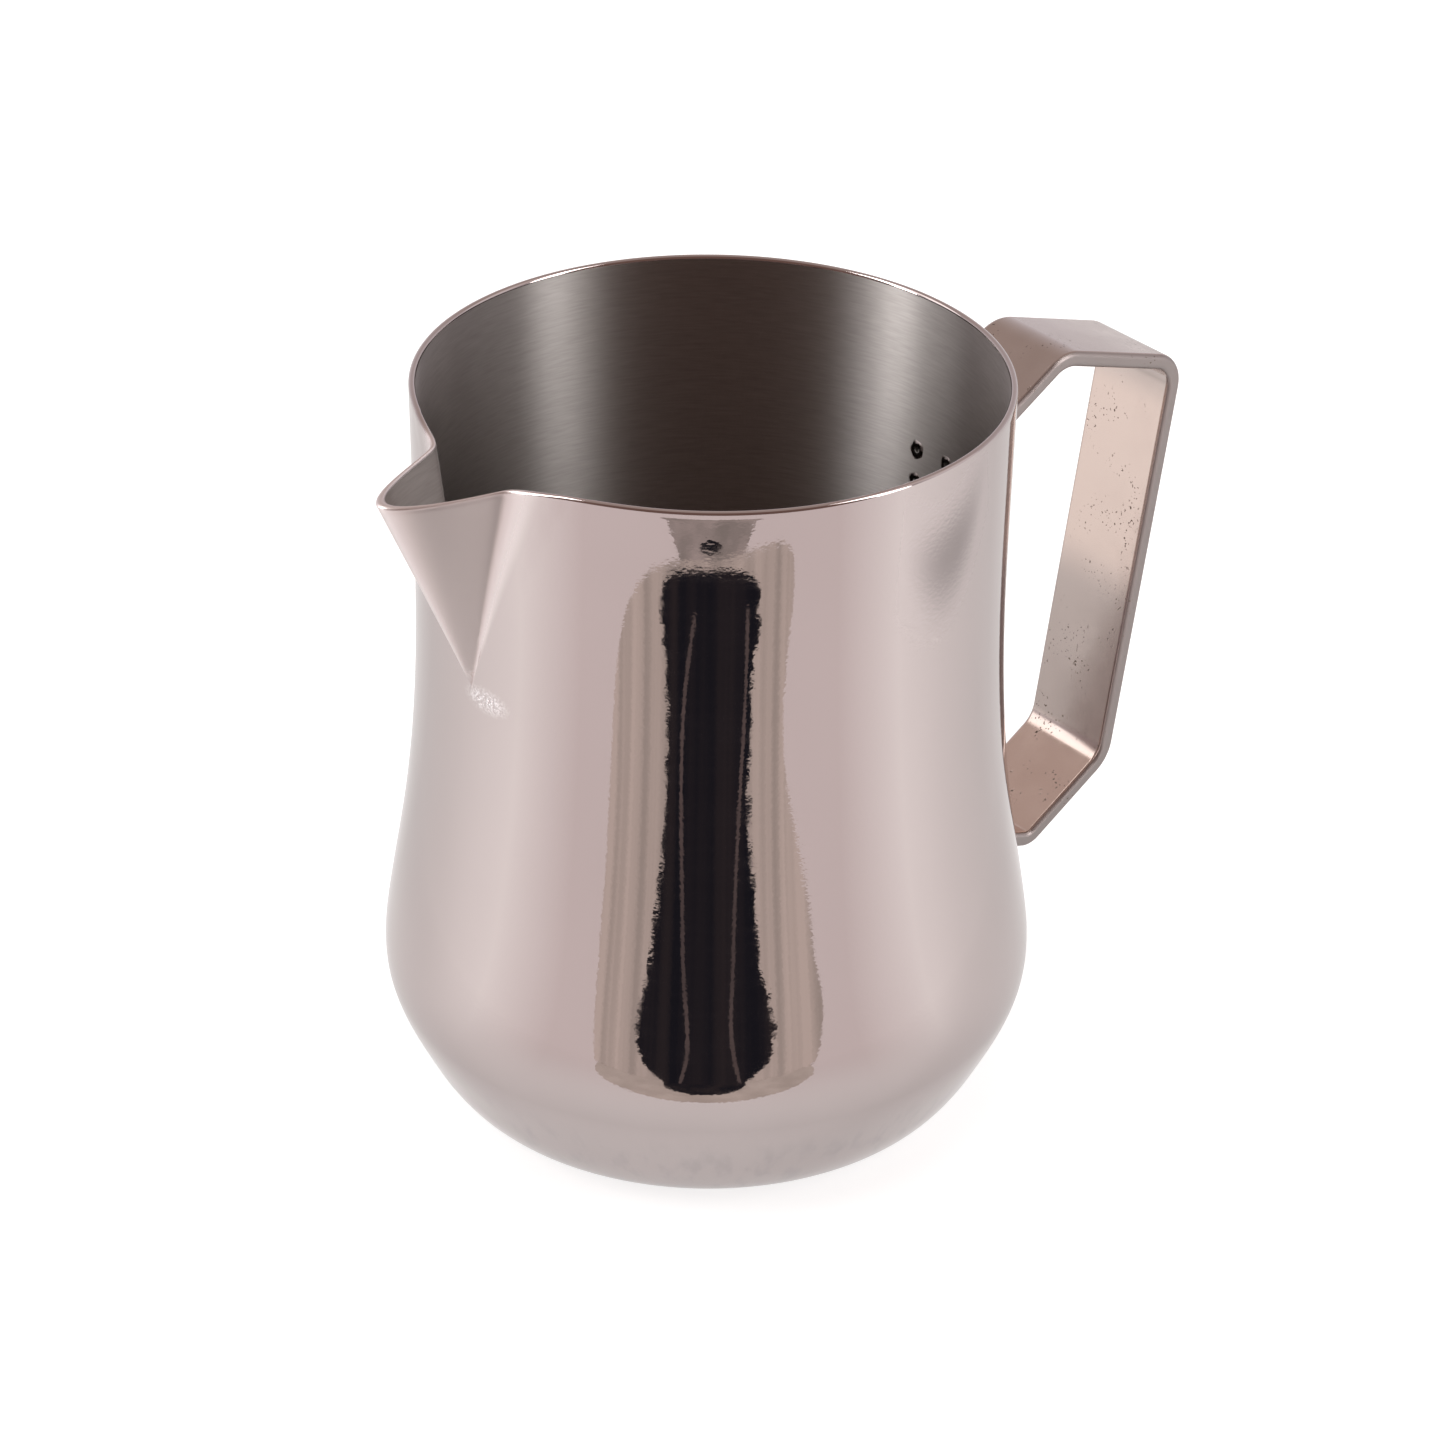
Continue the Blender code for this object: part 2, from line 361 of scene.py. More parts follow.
def make_handle(material):
    cells = bmesh.new()
    rows = []
    for point in handle_path():
        row = []
        for column in range(STRIP_COLUMNS + 1):
            y = STRIP_WIDTH * (column / STRIP_COLUMNS - 0.5)
            row.append(cells.verts.new((wrap_on_body(point.x, y, point.y), y, point.y)))
        rows.append(row)
    for low, high in zip(rows, rows[1:]):
        for i in range(STRIP_COLUMNS):
            cells.faces.new((low[i], low[i + 1], high[i + 1], high[i]))
    mesh = bpy.data.meshes.new("bent_strip_handle")
    cells.to_mesh(mesh)
    cells.free()
    mesh.materials.append(material)
    mesh.shade_smooth()
    mesh.set_sharp_from_angle(angle=SHARP_ANGLE)
    handle = add_piece("bent_strip_handle", mesh)
    strip = handle.modifiers.new("Strip", "SOLIDIFY")
    strip.thickness = STRIP_THICKNESS
    strip.offset = 0
    strip.use_even_offset = True
    bevel = handle.modifiers.new("Round edges", "BEVEL")
    bevel.width = STRIP_ROUND
    bevel.segments = EDGE_SEGMENTS
    bevel.limit_method = "ANGLE"
    bevel.angle_limit = SHARP_ANGLE
    bevel.harden_normals = True
    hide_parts("strip_handle")


def make_weld(name, node, material, seed):
    """A nugget in place of a CAD weld node, with its origin in the middle of the wall's inner face."""
    low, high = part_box(node)
    middle = (low + high) / 2
    angle = math.atan2(middle.y, middle.x)
    inner = wall_radius(middle.z) - SHEET
    cells = bmesh.new()
    rings = []
    for share, out in WELD_OUTLINE[1:-1]:
        ring = []
        for side in range(WELD_SIDES):
            turn = 2 * math.pi * side / WELD_SIDES
            oval = WELD_OVAL * math.sin(2 * turn + seed)
            lobes = WELD_LOBES * math.sin(5 * turn + 2 * seed)
            reach = share * WELD_RADIUS * (1 + oval + lobes)
            ring.append(cells.verts.new((reach * math.cos(turn), reach * math.sin(turn), out)))
        rings.append(ring)
    first = cells.verts.new((0, 0, WELD_OUTLINE[0][1]))
    last = cells.verts.new((0, 0, WELD_OUTLINE[-1][1]))
    for side in range(WELD_SIDES):
        after = (side + 1) % WELD_SIDES
        cells.faces.new((first, rings[0][after], rings[0][side]))
        cells.faces.new((last, rings[-1][side], rings[-1][after]))
        for low_ring, high_ring in zip(rings, rings[1:]):
            cells.faces.new((low_ring[side], low_ring[after], high_ring[after], high_ring[side]))
    mesh = bpy.data.meshes.new(name)
    cells.to_mesh(mesh)
    cells.free()
    fix_normals(mesh)
    mesh.materials.append(material)
    mesh.shade_smooth()
    mesh.set_sharp_from_angle(angle=SHARP_ANGLE)
    weld = bpy.data.objects.new(name, mesh)
    bpy.context.scene.collection.objects.link(weld)
    outwards = Vector((math.cos(angle), math.sin(angle), 0))
    weld.matrix_world = Matrix.Translation(outwards * inner + Vector((0, 0, middle.z))) @ (
        outwards.to_track_quat("Z", "Y").to_matrix().to_4x4()
    )
    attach(weld, "root")
    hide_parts(node)


# Materials

# A material's grains are how many patches of noise fit in a metre along X, Y and Z. Each pair that a
# fade takes is the value where its effect starts and the value where it is whole.

# Polished outside
STEEL = (0.55, 0.485, 0.475)
STEEL_SHADE = (0.53, 0.467, 0.457)
STEEL_GRAINS = (40, 40, 25)
STEEL_HAZE_GRAINS = (120, 120, 900)
STEEL_ROUGHNESS = (0.02, 0.06)
POLISH_GRAINS = (1500, 1500, 2000)
POLISH_DEPTH = 0.0035 * MM
# The scuff that the press left just below the spout's foot: rougher and scratched, with a painted glint that
# whitens the steel's colour in sparkles
SCUFF_PAINTED_GLINT = (0.86, 0.82, 0.83)
SCUFF_CENTRE = (-38.5 * MM, -3.0 * MM, 69.6 * MM)
SCUFF_REACH = (6 * MM, 5 * MM, 2.2 * MM)
SCUFF_FADE = (1.0, 0.2)
SCUFF_GRAINS = (2600, 2600, 3200)
SCUFF_SPARKLE = (0.40, 0.62)
SCUFF_ROUGHNESS = 0.2
SCUFF_DEPTH = 0.03 * MM
# Fine streaks run down the bottom of the body's curve, below this height
STREAKS_TOP = 15 * MM
STREAK_SHADE = (0.48, 0.43, 0.425)
STREAK_GRAINS = (420, 420, 15)
STREAK_FADE = (0.45, 0.75)
# The pressed spout is paler and hazier, out to these shares of each crease's angle
SPOUT_STEEL = (0.77, 0.70, 0.69)
SPOUT_HAZE = 0.42
SPOUT_EDGE_FADE = (1.8, 1.15)
SPOUT_FOOT_FADE = (SPOUT_FOOT, SPOUT_FOOT + 4 * MM)
# Keeps the creases' angle above nothing at the spout's foot
LEAST_RISE = 0.02

# Satin inside
INNER_STEEL = (0.47, 0.445, 0.43)
INNER_SHADE = (0.41, 0.385, 0.37)
INNER_GRAINS = (300, 300, 4000)
INNER_HAZE_GRAINS = (200, 200, 3000)
INNER_ROUGHNESS = (0.50, 0.58)
INNER_LINES_GRAINS = (250, 250, 4000)
INNER_LINES_DEPTH = 0.004 * MM
QUARTER_TURN = 0.25

# Strip handle
STRIP_STEEL = (0.57, 0.495, 0.465)
STRIP_SHADE = (0.50, 0.43, 0.40)
STRIP_GRAINS = (60, 60, 60)
STRIP_HAZE_GRAINS = (150, 150, 150)
STRIP_ROUGHNESS = (0.10, 0.20)
BRUSH_GRAINS = (2500, 120, 300)
BRUSH_DEPTH = 0.004 * MM
# Pits gather in patches
PIT_BROWN = (0.14, 0.10, 0.08)
PIT_GRAINS = (2100, 2100, 2100)
PIT_FADE = (0.66, 0.72)
PIT_PATCH_GRAINS = (140, 140, 140)
PIT_PATCH_FADE = (0.5, 0.62)
PIT_DEPTH = 0.015 * MM
# The strip's narrow edges, from these distances off its middle line
STRIP_EDGE = (0.33, 0.29, 0.28)
STRIP_EDGE_FADE = (STRIP_WIDTH / 2 - 0.6 * MM, STRIP_WIDTH / 2 - 0.2 * MM)
STRIP_EDGE_ROUGHNESS = 0.25
# Painted reflections in the grip's colour: darker along its middle heights, for the darker belly that it
# mirrors, and paler at its foot and near its top
STRIP_REFLECTED_SHADE = (0.49, 0.42, 0.39)
REFLECTED_SHADE_TOP_FADE = (60 * MM, 46 * MM)
REFLECTED_SHADE_FOOT_FADE = (25 * MM, 32 * MM)
STRIP_REFLECTED_LIGHT = (0.73, 0.60, 0.54)
REFLECTED_LIGHT_FOOT_FADE = (31 * MM, 27 * MM)
REFLECTED_LIGHT_RISE_FADE = (50 * MM, 58 * MM)
REFLECTED_LIGHT_TOP_FADE = (85 * MM, 79 * MM)

# Spot welds: tones by distance from the middle as a share of the weld's diameter, and how far the
# noise moves them
WELD_TONES = [
    (0.12, (0.16, 0.15, 0.14)),
    (0.22, (0.02, 0.016, 0.014)),
    (0.36, (0.05, 0.04, 0.035)),
    (0.46, STEEL),
]
WELD_WOBBLE = 0.4
WELD_GRAINS = (1600, 1600, 1600)
WELD_ROUGHNESS = (0.3, 0.55)


class Look:
    """A material's node tree, with short calls to add nodes to it."""

    def __init__(self, name):
        self.material = bpy.data.materials.new(name)
        self.material.use_nodes = True
        self.tree = self.material.node_tree
        self.shader = self.tree.nodes["Principled BSDF"]

    def add(self, kind, **settings):
        node = self.tree.nodes.new(kind)
        for name, value in settings.items():
            setattr(node, name, value)
        return node

    def join(self, source, target):
        self.tree.links.new(source, target)

    def noise(self, scale, detail, roughness=0.5):
        """Noise in the object's own coordinates, with its grains this many to the metre along X, Y and Z."""
        place = self.add("ShaderNodeTexCoord")
        stretch = self.add("ShaderNodeMapping")
        stretch.inputs["Scale"].default_value = scale
        grain = self.add("ShaderNodeTexNoise")
        grain.inputs["Scale"].default_value = 1
        grain.inputs["Detail"].default_value = detail
        grain.inputs["Roughness"].default_value = roughness
        self.join(place.outputs["Object"], stretch.inputs["Vector"])
        self.join(stretch.outputs["Vector"], grain.inputs["Vector"])
        return grain.outputs["Fac"]

    def ramp(self, source, stops):
        """Turns a value into a colour or a number that passes through these (place, value) stops."""
        ramp = self.add("ShaderNodeValToRGB")
        elements = ramp.color_ramp.elements
        while len(elements) < len(stops):
            elements.new(0.5)
        for element, (place, value) in zip(elements, stops):
            element.position = place
            element.color = (*value, 1) if isinstance(value, tuple) else (value, value, value, 1)
        self.join(source, ramp.inputs["Fac"])
        return ramp.outputs["Color"]

    def maths(self, operation, *terms):
        """The result of a sum on these terms, each a number or another node's output."""
        node = self.add("ShaderNodeMath", operation=operation)
        for term, socket in zip(terms, node.inputs):
            if isinstance(term, (int, float)):
                socket.default_value = term
            else:
                self.join(term, socket)
        return node.outputs["Value"]

    def fade(self, value, start, end):
        """0 where the value is at the start or before it, rising smoothly to 1 at the end."""
        node = self.add("ShaderNodeMapRange", interpolation_type="SMOOTHSTEP")
        node.inputs["From Min"].default_value = start
        node.inputs["From Max"].default_value = end
        self.join(value, node.inputs["Value"])
        return node.outputs["Result"]

    def position(self):
        """The X, Y and Z of a point in the object's own coordinates."""
        place = self.add("ShaderNodeTexCoord")
        parts = self.add("ShaderNodeSeparateXYZ")
        self.join(place.outputs["Object"], parts.inputs["Vector"])
        return parts.outputs["X"], parts.outputs["Y"], parts.outputs["Z"]

    def distance(self, centre, reach):
        """How far a point is from the centre, as a share of the reach along X, Y and Z."""
        squares = []
        for value, middle, size in zip(self.position(), centre, reach):
            part = self.maths("MULTIPLY", self.maths("SUBTRACT", value, middle), 1 / size)
            squares.append(self.maths("MULTIPLY", part, part))
        return self.maths("SQRT", self.maths("ADD", self.maths("ADD", squares[0], squares[1]), squares[2]))

    def blend(self, share, under, over):
        """The colour under, covered by the share of the colour over."""
        mix = self.add("ShaderNodeMix", data_type="RGBA")
        mix.inputs["B"].default_value = (*over, 1)
        self.join(share, mix.inputs["Factor"])
        self.join(under, mix.inputs["A"])
        return mix.outputs["Result"]

    def grained(self, grains, detail, low, high, light=0.7):
        """A value that follows noise, from the low one in its dark grains to the high one in its light."""
        return self.ramp(self.noise(grains, detail), [(0.3, low), (light, high)])

    def bump(self, height, distance, under=None):
        """The normal of a surface that stands this far out where the height is 1, over another bump."""
        bump = self.add("ShaderNodeBump")
        bump.inputs["Distance"].default_value = distance
        self.join(height, bump.inputs["Height"])
        if under:
            self.join(under, bump.inputs["Normal"])
        return bump.outputs["Normal"]

    def replace_shader(self, kind, colour):
        """Puts a plain shader of this kind in the place of the Principled BSDF."""
        self.tree.nodes.remove(self.shader)
        shader = self.add(kind)
        self.join(colour, shader.inputs["Color"])
        self.join(shader.outputs[0], self.tree.nodes["Material Output"].inputs["Surface"])


def polished_look():
    look = Look("polished_steel_look")
    shader = look.shader
    shader.inputs["Metallic"].default_value = 1
    scuff = look.fade(look.distance(SCUFF_CENTRE, SCUFF_REACH), *SCUFF_FADE)
    scratches = look.noise(SCUFF_GRAINS, 2, 0.7)
    glint_and_scratches = look.maths("MULTIPLY", scuff, look.fade(scratches, *SCUFF_SPARKLE))
    steel = look.grained(STEEL_GRAINS, 2, STEEL_SHADE, STEEL, 0.6)
    low = look.fade(look.position()[2], STREAKS_TOP, STREAKS_TOP / 2)
    streaks = look.maths("MULTIPLY", low, look.fade(look.noise(STREAK_GRAINS, 3), *STREAK_FADE))
    spout = spout_cover(look)
    steel = look.blend(spout, look.blend(streaks, steel, STREAK_SHADE), SPOUT_STEEL)
    # Painted glint: the scuff's sparkles whiten the steel's colour
    look.join(look.blend(glint_and_scratches, steel, SCUFF_PAINTED_GLINT), shader.inputs["Base Color"])
    gloss = look.grained(STEEL_HAZE_GRAINS, 3, *STEEL_ROUGHNESS)
    pressed = look.maths("MAXIMUM", look.maths("MULTIPLY", spout, SPOUT_HAZE), gloss)
    rough = look.maths("MULTIPLY_ADD", scuff, SCUFF_ROUGHNESS, pressed)
    look.join(rough, shader.inputs["Roughness"])
    polish = look.bump(look.noise(POLISH_GRAINS, 1), POLISH_DEPTH)
    look.join(look.bump(glint_and_scratches, SCUFF_DEPTH, under=polish), shader.inputs["Normal"])
    return look.material


def spout_cover(look):
    """1 on the spout and 0 on the round body, with a soft edge just outside each crease."""
    x, y, z = look.position()
    turn = look.maths("ABSOLUTE", look.maths("ARCTAN2", y, look.maths("MULTIPLY", x, -1)))
    rise = look.maths("MULTIPLY", look.maths("SUBTRACT", z, SPOUT_FOOT), 1 / (HEIGHT - SPOUT_FOOT))
    crease = look.maths("MULTIPLY", look.maths("MAXIMUM", rise, LEAST_RISE), SPOUT_HALF_ANGLE)
    beside = look.fade(look.maths("DIVIDE", turn, crease), *SPOUT_EDGE_FADE)
    return look.maths("MULTIPLY", beside, look.fade(z, *SPOUT_FOOT_FADE))


def satin_look():
    look = Look("satin_steel_look")
    shader = look.shader
    shader.inputs["Metallic"].default_value = 1
    shader.inputs["Anisotropic"].default_value = 1
    shader.inputs["Anisotropic Rotation"].default_value = QUARTER_TURN
    turn = look.add("ShaderNodeTangent", direction_type="RADIAL", axis="Z")
    look.join(turn.outputs["Tangent"], shader.inputs["Tangent"])
    look.join(look.grained(INNER_GRAINS, 3, INNER_SHADE, INNER_STEEL), shader.inputs["Base Color"])
    look.join(look.grained(INNER_HAZE_GRAINS, 3, *INNER_ROUGHNESS), shader.inputs["Roughness"])
    lines = look.noise(INNER_LINES_GRAINS, 2)
    look.join(look.bump(lines, INNER_LINES_DEPTH), shader.inputs["Normal"])
    return look.material


def strip_look():
    look = Look("strip_steel_look")
    shader = look.shader
    shader.inputs["Metallic"].default_value = 1
    clean = look.grained(STRIP_GRAINS, 3, STRIP_SHADE, STRIP_STEEL, 0.6)
    spots = look.fade(look.noise(PIT_GRAINS, 1), *PIT_FADE)
    patches = look.fade(look.noise(PIT_PATCH_GRAINS, 2), *PIT_PATCH_FADE)
    pits = look.maths("MULTIPLY", spots, patches)
    _, y, z = look.position()
    edges = look.fade(look.maths("ABSOLUTE", y), *STRIP_EDGE_FADE)
    # Painted reflections: a darker band along the middle heights, and paler bands at the foot and near the
    # top
    reflected_shade = look.maths("MULTIPLY", look.fade(z, *REFLECTED_SHADE_TOP_FADE), look.fade(z, *REFLECTED_SHADE_FOOT_FADE))
    high = look.maths("MULTIPLY", look.fade(z, *REFLECTED_LIGHT_RISE_FADE), look.fade(z, *REFLECTED_LIGHT_TOP_FADE))
    reflected_light = look.maths("MAXIMUM", look.fade(z, *REFLECTED_LIGHT_FOOT_FADE), high)
    face = look.blend(reflected_light, look.blend(reflected_shade, clean, STRIP_REFLECTED_SHADE), STRIP_REFLECTED_LIGHT)
    steel = look.blend(edges, face, STRIP_EDGE)
    look.join(look.blend(pits, steel, PIT_BROWN), shader.inputs["Base Color"])
    gloss = look.grained(STRIP_HAZE_GRAINS, 4, *STRIP_ROUGHNESS)
    rough = look.maths("MULTIPLY_ADD", edges, STRIP_EDGE_ROUGHNESS, gloss)
    look.join(rough, shader.inputs["Roughness"])
    brushed = look.bump(look.noise(BRUSH_GRAINS, 3), BRUSH_DEPTH)
    look.join(look.bump(pits, -PIT_DEPTH, under=brushed), shader.inputs["Normal"])
    return look.material


def weld_look():
    """Steel that the weld's heat has darkened in a ring round its middle."""
    look = Look("weld_steel_look")
    shader = look.shader
    shader.inputs["Metallic"].default_value = 1
    out = look.distance((0, 0, 0), [2 * WELD_RADIUS] * 3)
    wobble = look.noise(WELD_GRAINS, 2)
    shift = look.maths("MULTIPLY_ADD", wobble, WELD_WOBBLE, -WELD_WOBBLE / 2)
    tone = look.ramp(look.maths("ADD", out, shift), WELD_TONES)
    look.join(tone, shader.inputs["Base Color"])
    low, high = WELD_ROUGHNESS
    look.join(look.ramp(wobble, [(0.3, low), (0.7, high)]), shader.inputs["Roughness"])
    return look.material


# Studio

FLOOR_SIZE = 6
# The floor gives some light of its own, as a lit acrylic table does, so that it stays white round the
# pitcher
FLOOR_GLOW = 0.74
FLOOR_WHITE = (0.46, 0.46, 0.46)
# The room's colours low down and high up, and the height of a direction where each is whole
ROOM_LOW = (0.76, 0.71, 0.74)
ROOM_HIGH = (0.50, 0.41, 0.38)
ROOM_LOW_END = 0.1
ROOM_HIGH_START = 0.7
# The room is dark on the camera's side: how far a direction leans to it where that starts and is whole
ROOM_DARK = (0.21, 0.13, 0.11)
DARK_START = 0.0
DARK_FULL = 0.6
BACKDROP = (0.92, 0.91, 0.91)

LIGHT_TINT = (1.0, 0.985, 0.98)
SOFTBOX_DISTANCE = 1.5
SOFTBOXES = {
    "right_softbox": (29, 30, (0.40, 1.4), 9),
    "far_right_softbox": (60, 36, (0.7, 1.4), 0.8),
    "left_softbox": (-117, 30, (0.32, 1.4), 11.2),
    "far_left_softbox": (-138, 36, (0.5, 1.4), 3),
}
CEILING_DISTANCE = 1.6
CEILING_SOFTBOX = (180, 88, (1.1, 1.1), 9)

# The cards that the polished wall mirrors, which stand on the floor in front of the pitcher, each a
# little behind the one before. Their shapes are simple ones, after the reflections in the photograph.
# Each outline runs down one side from the card's top: the distance from the card's middle and the
# height, in millimetres.
CARD_DISTANCE = 100 * MM
CARD_GAP = 1 * MM
BLACK_SIDE = [(0, 61), (27, 54), (22, 32), (34, 15), (18, 0)]
BEIGE_LEFT = [(0, 62), (48, 48), (62, 24), (60, 0)]
BEIGE_RIGHT = [(0, 62), (50, 50), (44, 32), (68, 12), (60, 0)]
GREY_SIDE = [(0, 73), (28, 70), (17, 61), (9, 57)]
SMUDGE_SIDE = [(0, 65.5), (6, 64.5), (0, 63.5)]
CARD_STEPS = 150
# How far each card's edge is frayed, in millimetres
BLACK_RAG = 2.4
BEIGE_RAG = 0.6
GREY_RAG = 1.2
SMUDGE_RAG = 0.9
# Each card's dark and light streaks, and their grains
BLACK_STREAKS = [(0.35, (0.014, 0.014, 0.02)), (0.7, (0.04, 0.032, 0.034))]
BLACK_GRAINS = (120, 120, 4)
BEIGE_STREAKS = [(0.35, (0.53, 0.46, 0.42)), (0.65, (0.78, 0.67, 0.61))]
BEIGE_GRAINS = (130, 130, 4)
GREY_STREAKS = [(0.35, (0.34, 0.30, 0.28)), (0.65, (0.54, 0.46, 0.44))]
GREY_GRAINS = (60, 60, 200)
FOOT_STREAKS = [(0.35, (0.60, 0.52, 0.47)), (0.65, (0.72, 0.63, 0.57))]
FOOT_GRAINS = (90, 90, 90)

# The thin warm strips on the black card: places across and heights of each one's middle line, in
# millimetres
WARM_LEFT = [(-11, 0), (-8, 14), (-14, 32), (-8, 54)]
WARM_RIGHT = [(16, 0), (12, 18), (18, 36), (20, 54)]
WARM_WIDTH = 1.8 * MM
WARM_STREAKS = [(0.3, (0.10, 0.08, 0.08)), (0.7, (0.17, 0.13, 0.125))]
WARM_GRAINS = (1, 1, 60)

# Where the cards' feet run on along the floor towards the pitcher, each as half an ellipse: its reach
# sideways and towards the pitcher, and its height above the floor
BLACK_FOOT = (19 * MM, 16 * MM, 0.7 * MM)
BEIGE_FOOT = (56 * MM, 25 * MM, 0.5 * MM)

# How bright the studio is round the pitcher, as a share of the white floor: a little dull and warm
# ahead, brightest at both sides, and dull behind. The angles are in degrees from the camera's side.
TONE_AHEAD = (0.75, 0.70, 0.70)
TONE_SIDES = (1.0, 1.0, 1.0)
TONE_BEHIND = (0.70, 0.70, 0.70)
AHEAD_END = 45
SIDES_MIDDLE = 70
BEHIND_START = 125
# The floor darkens near the pitcher, a painted contact shadow that only mirrors show: distances from its
# axis, and the floor's share of white there
NEAR_SHADOW_TONES = [(36 * MM, 0.8), (50 * MM, 0.7), (120 * MM, 0.95)]
# Nearer than this the floor is the same in every direction
DIRECTIONS_START = 52 * MM
DIRECTIONS_FULL = 120 * MM
TONES_INNER = 33 * MM
TONES_OUTER = 1500 * MM
TONES_SIDES = 96
TONES_HEIGHT = 0.2 * MM

# A soft patch of painted shade on the floor, which only mirrors show: its middle and its reach, to the
# camera's right and towards it
PATCH_MIDDLE = (192 * MM, -18 * MM)
PATCH_REACH = (22 * MM, 88 * MM)
PATCH_HEIGHT = 0.4 * MM
PATCH_SHADE = 0.62
PATCH_FADE = (1.0, 0.1)


def stage_object(name, mesh, material):
    obj = bpy.data.objects.new(name, mesh)
    mesh.materials.append(material)
    bpy.context.scene.collection.objects.link(obj)
    return obj


def square_mesh(name, half):
    """A level square that reaches this far from its middle along X and Y."""
    corners = [(-half, -half, 0), (half, -half, 0), (half, half, 0), (-half, half, 0)]
    mesh = bpy.data.meshes.new(name)
    mesh.from_pydata(corners, [], [(0, 1, 2, 3)])
    return mesh


def make_floor():
    look = Look("floor_look")
    look.shader.inputs["Base Color"].default_value = (*FLOOR_WHITE, 1)
    look.shader.inputs["Roughness"].default_value = 1
    look.shader.inputs["Emission Color"].default_value = (1, 1, 1, 1)
    look.shader.inputs["Emission Strength"].default_value = FLOOR_GLOW
    look.shader.inputs["Specular IOR Level"].default_value = 0
    stage_object("studio_floor", square_mesh("studio_floor", FLOOR_SIZE / 2), look.material)


def seen_in_reflections_only(obj):
    obj.visible_camera = False
    obj.visible_diffuse = False
    obj.visible_shadow = False
    obj.visible_transmission = False


def ragged(line, reach, seed):
    """The line with its points moved across by up to the reach, and by less where it runs level."""
    along = np.gradient(line, axis=0)
    upright = np.abs(along[:, 1]) / np.linalg.norm(along, axis=1)
    shifts = np.random.default_rng(seed).uniform(-reach, reach, len(line)) * upright
    shifts[[0, -1]] = 0
    return line + np.stack([shifts, np.zeros(len(line))], axis=1)


def card(name, left, right, distance, material, rag):
    """A standing card whose outline is given for each side of its middle."""
    points = []
    for side, outline in ((-1, left), (1, right)):
        line = ragged(smooth_curve(outline, CARD_STEPS, (1, 0)), rag, side + 1)
        for across, height in line if side > 0 else line[:0:-1]:
            place = FRONT * distance + RIGHT * side * float(across) * MM
            points.append(place + Vector((0, 0, float(height) * MM)))
    mesh = bpy.data.meshes.new(name)
    mesh.from_pydata(points, [], [tuple(range(len(points)))])
    seen_in_reflections_only(stage_object(name, mesh, material))


def streaked_glow(name, stops, grains):
    """Light that varies in streaks across a standing card."""
    look = Look(name)
    look.replace_shader("ShaderNodeEmission", look.ramp(look.noise(grains, 3), stops))
    return look.material


def studio_tones():
    """The studio's tones by angle, the same to the camera's left and right."""
    right = [(AHEAD_END, TONE_AHEAD), (SIDES_MIDDLE, TONE_SIDES), (BEHIND_START, TONE_BEHIND)]
    left = [(-angle, tone) for angle, tone in reversed(right)]
    return [(-180, TONE_BEHIND)] + left + right + [(180, TONE_BEHIND)]


def tones_look():
    """A clear film that dims the floor by its direction and distance from the pitcher."""
    look = Look("studio_tones_look")
    ahead, right, _ = look.position()
    turn = look.maths("ARCTAN2", right, ahead)
    share = look.maths("MULTIPLY_ADD", turn, 1 / (2 * math.pi), 0.5)
    tones = look.ramp(share, [((angle + 180) / 360, tone) for angle, tone in studio_tones()])
    # Painted contact shadow round the pitcher's foot
    out = look.distance((0, 0, 0), (1, 1, 1))
    reach = NEAR_SHADOW_TONES[-1][0]
    stops = [(radius / reach, tone) for radius, tone in NEAR_SHADOW_TONES]
    near = look.ramp(look.maths("DIVIDE", out, reach), stops)
    mix = look.add("ShaderNodeMix", data_type="RGBA", blend_type="MULTIPLY")
    look.join(look.fade(out, DIRECTIONS_START, DIRECTIONS_FULL), mix.inputs["Factor"])
    look.join(near, mix.inputs["A"])
    look.join(tones, mix.inputs["B"])
    look.replace_shader("ShaderNodeBsdfTransparent", mix.outputs["Result"])
    return look.material


def make_tones():
    """The film lies just above the floor, and only mirrors show it."""
    points = []
    faces = []
    for side in range(TONES_SIDES):
        turn = 2 * math.pi * side / TONES_SIDES
        for radius in (TONES_INNER, TONES_OUTER):
            points.append((radius * math.cos(turn), radius * math.sin(turn), 0))
        low = 2 * side
        high = 2 * ((side + 1) % TONES_SIDES)
        faces.append((low, low + 1, high + 1, high))
    mesh = bpy.data.meshes.new("studio_tones")
    mesh.from_pydata(points, [], faces)
    film = stage_object("studio_tones", mesh, tones_look())
    film.location.z = TONES_HEIGHT
    film.rotation_euler.z = math.atan2(FRONT.y, FRONT.x)
    seen_in_reflections_only(film)


def patch_look(name):
    """A clear film of painted shade that dims the floor to the patch's tone in its middle and not at all at
    its edge.
    """
    look = Look(name)
    middle = look.fade(look.distance((0, 0, 0), (1, 1, 1)), *PATCH_FADE)
    tone = look.ramp(middle, [(0, 1.0), (1, PATCH_SHADE)])
    look.replace_shader("ShaderNodeBsdfTransparent", tone)
    return look.material


def make_patch():
    right, ahead = PATCH_MIDDLE
    reach_right, reach_ahead = PATCH_REACH
    patch = stage_object("right_patch", square_mesh("right_patch", 1), patch_look("right_patch_look"))
    patch.location = FRONT * ahead + RIGHT * right + Vector((0, 0, PATCH_HEIGHT))
    patch.scale = (reach_ahead, reach_right, 1)
    patch.rotation_euler.z = math.atan2(FRONT.y, FRONT.x)
    seen_in_reflections_only(patch)


